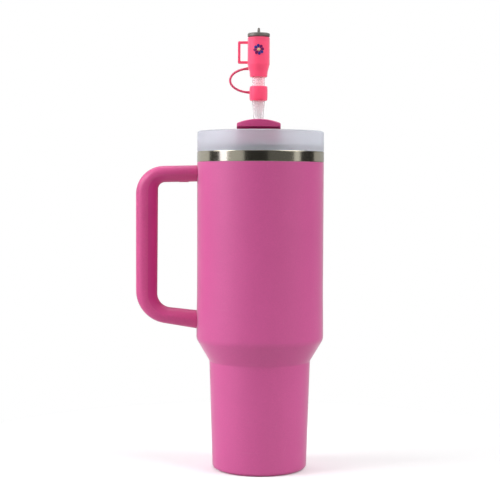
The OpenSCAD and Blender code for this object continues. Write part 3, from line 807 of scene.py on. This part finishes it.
def bow_ends(reach):
    """Pulls each row of end points in, so that the flat ends take the curve of a circle."""
    mesh = bpy.context.object.data
    bpy.ops.object.mode_set(mode="OBJECT")
    place = bpy.context.object.location.x
    rows = {}
    for v in mesh.vertices:
        rows.setdefault(round(abs(v.co.x + place - AXIS_X * MM), 6), []).append(v.index)
    for off, members in rows.items():
        bpy.ops.object.mode_set(mode="EDIT")
        bpy.ops.mesh.select_all(action="DESELECT")
        bpy.ops.object.mode_set(mode="OBJECT")
        for i in members:
            mesh.vertices[i].select = True
        bpy.ops.object.mode_set(mode="EDIT")
        short = math.sqrt(1 - (off / (reach * MM)) ** 2)
        bpy.ops.transform.resize(value=(1, short, 1), center_override=(0, 0, 0))
        bpy.ops.object.mode_set(mode="OBJECT")
    bpy.ops.object.mode_set(mode="EDIT")


def turning_cover():
    """The crowned bar with its finger grooves, hollow inside, on a hub bored for the straw."""
    low_z = DECK_Z + 0.5
    piece = crowned_bar("turning_cover", 0, low_z, COVER_R, 1.3, 0.9)
    ring_r = COVER_R - FINGER_D
    ring = [(ring_r + 0.8, FINGER_LOW_Z), (COVER_R + 3, FINGER_LOW_Z), (COVER_R + 3, FINGER_TOP_Z),
            (ring_r + 0.8, FINGER_TOP_Z), (ring_r, FINGER_TOP_Z - 0.8), (ring_r, FINGER_LOW_Z + 0.8)]
    combine(piece, lathe("finger_space", ring, AXIS_X, FINE))
    combine(piece, crowned_bar("inside", COVER_T, low_z - 2, ring_r - COVER_T, 1.2, 0.8))
    collar_low, collar_top = DECK_Z + 0.45, DECK_Z + 1.65
    hub = [(0, HUB_Z), (HUB_R - 0.5, HUB_Z), (HUB_R, HUB_Z + 0.5), (HUB_R, collar_low),
           (HUB_COLLAR_R, collar_low), (HUB_COLLAR_R, collar_top), (HUB_R, collar_top),
           (HUB_R, CROWN_Z - 1.6), (0, CROWN_Z - 1.6)]
    combine(piece, lathe("hub", hub, AXIS_X), "UNION")
    bore = [(0, HUB_Z - 1), (HUB_BORE_R, HUB_Z - 1), (HUB_BORE_R, CROWN_Z - 0.8),
            (HUB_BORE_R + 0.8, CROWN_Z + 0.1), (HUB_BORE_R + 0.8, CROWN_Z + 2), (0, CROWN_Z + 2)]
    combine(piece, lathe("bore", bore, AXIS_X))
    return finish_piece(piece, COVER, "cover", ["rotating_cover"], 30)


def grommet():
    """The soft ring in the hub's bore that grips the straw, with a rolled lip on top."""
    low, top = CROWN_Z - 8, CROWN_Z - 1.2
    inner = STRAW_R + 0.3
    outline = [(inner, low + 0.4), (inner + 0.4, low), (HUB_BORE_R, low), (HUB_BORE_R, top)]
    outline += [(HUB_BORE_R - 0.5, top + 0.35), (STRAW_R + 2.6, top + 0.1)]
    outline += arc((STRAW_R + 0.9, CROWN_Z + 0.1), 0.6, 0, 180, 8) + [(inner, top - 0.4)]
    piece = lathe("straw_grommet_ring", outline, AXIS_X)
    return finish_piece(piece, SEAL, "cover", ["straw_grommet"])


# ---- Straw and its collar ----

def drinking_straw():
    """The straw, which flares gently above the cover into its wider mouthpiece."""
    flare = rounded([(STRAW_R, STRAW_LOW_Z + 1), (STRAW_R, CROWN_Z + 1.2), (MOUTH_R, COLLAR_LOW_Z - 0.8),
                     (MOUTH_R, STRAW_TIP_Z - 1)], [0, 30, 30, 0], 4)
    outside = arc((STRAW_R - 0.3, STRAW_LOW_Z + 0.3), 0.3, -90, 0, 3) + flare
    outside += arc((MOUTH_R - 0.4, STRAW_TIP_Z - 0.4), 0.4, 0, 90, 4)
    back_down = [(MOUTH_R, STRAW_TIP_Z)] + flare[::-1] + [(STRAW_R, STRAW_LOW_Z)]
    inside = [(r - STRAW_T, z) for r, z in back_down]
    piece = lathe("drinking_straw", outside + inside, AXIS_X)
    return finish_piece(piece, STRAW, "straw", ["straw"])


def straw_collar():
    """The silicone ring round the mouthpiece that the tether is rooted in."""
    inner = MOUTH_R + 0.03
    low, top = COLLAR_LOW_Z, COLLAR_TOP_Z
    outline = [(inner, low + 0.5), (inner + 0.5, low)]
    outline += arc((COLLAR_R - 1.3, low + 1.1), 1.1, -90, -10, 6)
    outline += [(COLLAR_R - 0.02, low + 3.5), (COLLAR_R - 0.02, top - 3)]
    outline += arc((COLLAR_R - 1.0, top - 0.8), 0.8, 10, 90, 6)
    outline += [(inner + 0.5, top), (inner, top - 0.5)]
    piece = lathe("straw_collar", outline, AXIS_X)
    return finish_piece(piece, SILICONE, "straw", ["collar"])


def tether_edges():
    """Pairs of points on the inside and the outside of the tether's bow, thicker where it is rooted."""
    low_z, high_z = COLLAR_LOW_Z + 6.5, CAP_Z + 6.6
    middle_z, rise = (low_z + high_z) / 2, (high_z - low_z) / 2
    count = 56

    def point(i):
        t = math.radians(-90 + (90 + TETHER_END) * i / count)
        return Vector((AXIS_X - TETHER_ROOT - TETHER_BOW * math.cos(t), middle_z + rise * math.sin(t)))

    pairs = []
    for i in range(count + 1):
        along = (point(min(i + 1, count)) - point(max(i - 1, 0))).normalized()
        near_end = min(i, count - i)
        half = TETHER_T / 2 * (1 + 0.45 * max(0.0, 1 - near_end / 5) ** 2)
        side = Vector((along.y, -along.x)) * half
        pairs.append((tuple(point(i) - side), tuple(point(i) + side)))
    return pairs


def tether():
    """The strap that bows from the collar to the cap, fixed in place and attached to no body."""
    piece = sweep("tether_strap", tether_edges(), 0.9, 0.4999)
    shade_evenly(piece, 50)
    piece.data.materials.clear()
    piece.data.materials.append(STRAP)
    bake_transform(piece)
    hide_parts("tether")
    return piece


# ---- Straw cap ----

def cap_barrel():
    """The cap's body, shaped like a small tumbler with its own side handle."""
    bore_r, bore_top = MOUTH_R + 0.1, CAP_Z + 15.8
    seat_r, seat_z = CAP_R - 1.5, CAP_LID_Z - 2
    outline = [(0, bore_top), (bore_r, bore_top), (bore_r, CAP_Z + 0.4), (bore_r + 0.4, CAP_Z)]
    outline += arc((CAP_FOOT_R - 0.5, CAP_Z + 0.5), 0.5, -90, -8, 5)
    outline += [(CAP_FOOT_R + 0.35, CAP_Z + 4.5), (CAP_FOOT_R + 0.65, CAP_Z + 5.1)]
    outline += arc((CAP_R - 2, CAP_Z + 10.0), 2, -22, 0, 6)
    outline += arc((CAP_R - 0.5, CAP_LID_Z - 0.5), 0.5, 0, 90, 5)
    outline += [(seat_r, CAP_LID_Z), (seat_r, seat_z), (0, seat_z)]
    piece = lathe("cap_barrel", outline, AXIS_X)
    out_x, loop_low = corners("cap_body")[0].x, CAP_Z + 10.3
    root_x, top = AXIS_X - CAP_R + 0.8, loop_low + 17.4
    outer = rounded([(root_x, top), (out_x, top), (out_x, loop_low), (root_x, loop_low)], [0, 1, 1, 0], 5)
    inner = rounded([(root_x, top - 2), (out_x + 2, top - 2), (out_x + 2, loop_low + 2),
                     (root_x, loop_low + 2)], [0, 0.4, 0.4, 0], 5)
    loop = sweep("loop", list(zip(inner, outer)), 1.3, 0.22, segments=3)
    combine(piece, loop, "UNION")
    return finish_piece(piece, SILICONE, "cap", ["cap_body"], 35)


def cap_lid():
    """The small tumbler's metal-grey lid, with a turned ring on its top."""
    seat_r, rim_r = CAP_R - 1.5, CAP_R + 0.05
    low, top = CAP_LID_Z, CAP_TOP_Z
    outline = [(0, low - 2), (seat_r, low - 2), (seat_r, low + 0.1), (CAP_R - 0.6, low + 0.5)]
    outline += arc((rim_r - 0.4, low + 1.0), 0.4, -90, 0, 4) + arc((rim_r - 0.9, top - 0.9), 0.9, 0, 90, 8)
    outline += [(6.2, top), (5.9, top - 0.35), (2.6, top - 0.35), (2.3, top)]
    outline += [(PIN_R, top), (PIN_R, low + PIN_SEAT), (0, low + PIN_SEAT)]
    return finish_piece(lathe("cap_lid_disc", outline, AXIS_X), MINI_METAL, "cap", ["cap_lid"])


def cap_pin():
    """The little straw on the small tumbler, which narrows slightly towards its rounded tip."""
    low = CAP_LID_Z + PIN_SEAT
    outline = [(0, low), (PIN_R, low), (PIN_R - 0.02, PIN_TOP_Z - 2.6), (PIN_R - 0.24, PIN_TOP_Z - 0.6)]
    outline += arc((PIN_R - 0.64, PIN_TOP_Z - 0.4), 0.4, 20, 90, 4) + [(0, PIN_TOP_Z)]
    piece = lathe("cap_pin_stub", outline, AXIS_X, 48)
    return finish_piece(piece, MINI_METAL, "cap", ["cap_pin"])


def barrel_skin(thick, reach):
    """A ring round the cap's barrel, level with the flower, that the flower's parts are crossed with."""
    low, top = FLOWER_Z - reach, FLOWER_Z + reach
    ring = [(CAP_R, low), (CAP_R + thick, low), (CAP_R + thick, top), (CAP_R, top)]
    return lathe("skin", ring, AXIS_X, FINE)


def petal(angle):
    """One petal as a prism: a drop whose point is at the flower's centre."""
    middle = FLOWER_R - PETAL_R
    side = 180 - math.degrees(math.acos(PETAL_R / (middle - PETAL_ROOT)))
    drop = arc((middle, 0), PETAL_R, -side, side, 24) + [(PETAL_ROOT, 0)]
    c, s = math.cos(math.radians(angle)), math.sin(math.radians(angle))
    outline = [(x * c - z * s, x * s + z * c) for x, z in drop]
    draw(outline, Vector((AXIS_X + outline[0][0], -CAP_R - 1, FLOWER_Z + outline[0][1])) * MM, 1)
    bpy.ops.mesh.remove_doubles(threshold=0.002 * MM)
    bpy.ops.mesh.edge_face_add()
    bpy.ops.mesh.extrude_region_move(TRANSFORM_OT_translate={"value": (0, 3.5 * MM, 0)})
    weld()
    return settle("petal")


def petals(name, turns, material, node):
    """The petals of one colour, one for each eighth turn, laid on the barrel's curve."""
    made = [petal(8 + 45 * turn) for turn in turns]
    fresh()
    for piece in made:
        piece.select_set(True)
    bpy.context.view_layer.objects.active = made[0]
    bpy.ops.object.join()
    flower = bpy.context.object
    flower.name = flower.data.name = name
    combine(flower, barrel_skin(0.4, 8), "INTERSECT")
    soften(flower, 0.12, 2, 50)
    return finish_piece(flower, material, "cap", [node], 40)


def flower_centre():
    """The cream button in the middle of the flower."""
    fresh()
    middle = Vector((AXIS_X, -CAP_R - 0.2, FLOWER_Z)) * MM
    bpy.ops.mesh.primitive_uv_sphere_add(segments=32, ring_count=16, radius=EYE_R * MM, location=middle)
    bpy.ops.object.mode_set(mode="EDIT")
    bpy.ops.mesh.select_all(action="SELECT")
    bpy.ops.transform.resize(value=(1, 0.42, 1), center_override=middle)
    weld()
    piece = settle("flower_eye")
    combine(piece, barrel_skin(2, 3), "INTERSECT")
    return finish_piece(piece, CREAM, "cap", ["flower_centre"], 40)


# ---- CAD nodes that show as they are ----

FINISHES = {
    "shell_base": POWDER_COAT, "vent_plug": HIDDEN_STEEL, "getter_cup": HIDDEN_STEEL, "getter": GETTER,
    "handle_core": CORE, "upper_bracket": HIDDEN_STEEL, "lower_bracket": HIDDEN_STEEL,
    "handle_screws": HIDDEN_STEEL, "screw_plugs": GRIP, "hub_oring": SEAL, "cover_base": COVER,
    "sip_seal": SEAL, "vent_seal": SEAL, "hub_clip": HIDDEN_STEEL,
}


def dress_frame():
    """Gives each of the CAD nodes above its own finish."""
    for node, material in FINISHES.items():
        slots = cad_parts[node].data.materials
        slots.clear()
        slots.append(material)


# ---- Studio ----

def camera():
    """A long lens nearly a metre in front, level with the upper arm and tipped down by three degrees."""
    data = bpy.data.cameras.new("camera")
    data.lens = 89.95
    data.sensor_width = 36
    eye = bpy.data.objects.new("camera", data)
    place = Matrix.Translation((-0.00796, -0.98023, 0.22248))
    down, roll = math.radians(2.963), math.radians(0.228)
    eye.matrix_world = place @ Matrix.Rotation(math.pi / 2 - down, 4, "X") @ Matrix.Rotation(roll, 4, "Z")
    bpy.context.scene.collection.objects.link(eye)
    bpy.context.scene.camera = eye


def panel(name, azimuth, elevation, distance, width, height, radiance, colour=(1, 1, 1)):
    """A soft box that faces the vessel's middle; azimuth 0 is the camera's side, positive to its right."""
    data = bpy.data.lights.new(name, "AREA")
    data.shape = "RECTANGLE"
    data.size, data.size_y = width, height
    data.energy = radiance * math.pi * width * height
    data.color = colour
    a, e = math.radians(azimuth), math.radians(elevation)
    middle = Vector((0, 0, 0.17))
    away = Vector((math.sin(a) * math.cos(e), -math.cos(a) * math.cos(e), math.sin(e)))
    lamp = bpy.data.objects.new(name, data)
    facing = away.to_track_quat("Z", "Y").to_matrix().to_4x4()
    lamp.matrix_world = Matrix.Translation(middle + away * distance) @ facing
    bpy.context.scene.collection.objects.link(lamp)
    return lamp


def lights():
    """Tall soft boxes and cards round the sides, broad ones overhead, and two behind for the edges."""
    panel("key_left", -69.5, 14, 1.1, 0.3, 1.2, 1.85, (1, 0.97, 1.14))
    panel("fill_right", 67.4, 0, 1.1, 0.25, 1.2, 0.73)
    panel("card_left", -47, 4, 1.3, 0.82, 1.2, 0.46)
    panel("card_right", 37, 2, 1.5, 1.35, 1.2, 0.095)
    panel("back_left", -137, 5, 1.4, 1.8, 1.4, 0.57)
    panel("back_right", 139, 5, 1.4, 1.5, 1.4, 0.4)
    panel("overhead_left", -77, 33, 1.5, 1.0, 1.0, 6.5)
    panel("overhead_right", 68, 42, 2.6, 1.8, 1.8, 5.5)
    panel("overhead_top", -12, 62, 2.6, 2.4, 2.0, 0.5)
    panel("overhead_back", 180, 60, 2.6, 2.6, 1.8, 1.95)


def surroundings():
    """White to the camera, and a dim grey room to everything else."""
    world = bpy.data.worlds.new("studio")
    bpy.context.scene.world = world
    world.use_nodes = True
    tree = world.node_tree
    tree.nodes.clear()
    room = tree.nodes.new("ShaderNodeBackground")
    room.inputs["Color"].default_value = (0.033, 0.033, 0.033, 1)
    seen = tree.nodes.new("ShaderNodeBackground")
    seen.inputs["Color"].default_value = (1, 1, 1, 1)
    path = tree.nodes.new("ShaderNodeLightPath")
    mix = tree.nodes.new("ShaderNodeMixShader")
    out = tree.nodes.new("ShaderNodeOutputWorld")
    through = maths(tree, "MAXIMUM", path.outputs["Is Camera Ray"], path.outputs["Is Transmission Ray"])
    tree.links.new(through, mix.inputs["Fac"])
    tree.links.new(room.outputs["Background"], mix.inputs[1])
    tree.links.new(seen.outputs["Background"], mix.inputs[2])
    tree.links.new(mix.outputs["Shader"], out.inputs["Surface"])


def floor():
    """A pale sheet that runs out into the white surroundings away from the vessel."""
    fresh()
    bpy.ops.mesh.primitive_plane_add(size=12, location=(0, 0, 0))
    plane = bpy.context.object
    plane.name = "floor"
    material, tree, shader = blank("pale_floor", Roughness=0.9)
    place = tree.nodes.new("ShaderNodeTexCoord")
    reach = tree.nodes.new("ShaderNodeVectorMath")
    reach.operation = "LENGTH"
    tree.links.new(place.outputs["Object"], reach.inputs[0])
    far = spread(tree, reach.outputs["Value"], 0.06, 0.3)
    path = tree.nodes.new("ShaderNodeLightPath")
    distant = spread(tree, reach.outputs["Value"], 0.4, 0.9)
    bounce = tint(tree, distant, (0.56, 0.56, 0.56), (0.02, 0.02, 0.02))
    seen = tint(tree, path.outputs["Is Camera Ray"], bounce, (0.92, 0.92, 0.92))
    tree.links.new(seen, shader.inputs["Base Color"])
    white = tree.nodes.new("ShaderNodeEmission")
    mix = tree.nodes.new("ShaderNodeMixShader")
    tree.links.new(maths(tree, "MULTIPLY", far, path.outputs["Is Camera Ray"]), mix.inputs["Fac"])
    tree.links.new(shader.outputs["BSDF"], mix.inputs[1])
    tree.links.new(white.outputs["Emission"], mix.inputs[2])
    tree.links.new(mix.outputs["Shader"], tree.nodes["Material Output"].inputs["Surface"])
    plane.data.materials.append(material)


camera()
vessel_wall()
vessel_liner()
base_plate()
handle_grip()
lid_shell()
lid_gasket()
turning_cover()
grommet()
drinking_straw()
straw_collar()
tether()
cap_barrel()
cap_lid()
cap_pin()
petals("flower_petals_blue", (2, 3, 6, 7), PETAL_BLUE, "petals_blue")
petals("flower_petals_purple", (0, 1, 4, 5), PETAL_PURPLE, "petals_purple")
flower_centre()
dress_frame()
lights()
surroundings()
floor()
bpy.context.scene.view_settings.view_transform = "Standard"
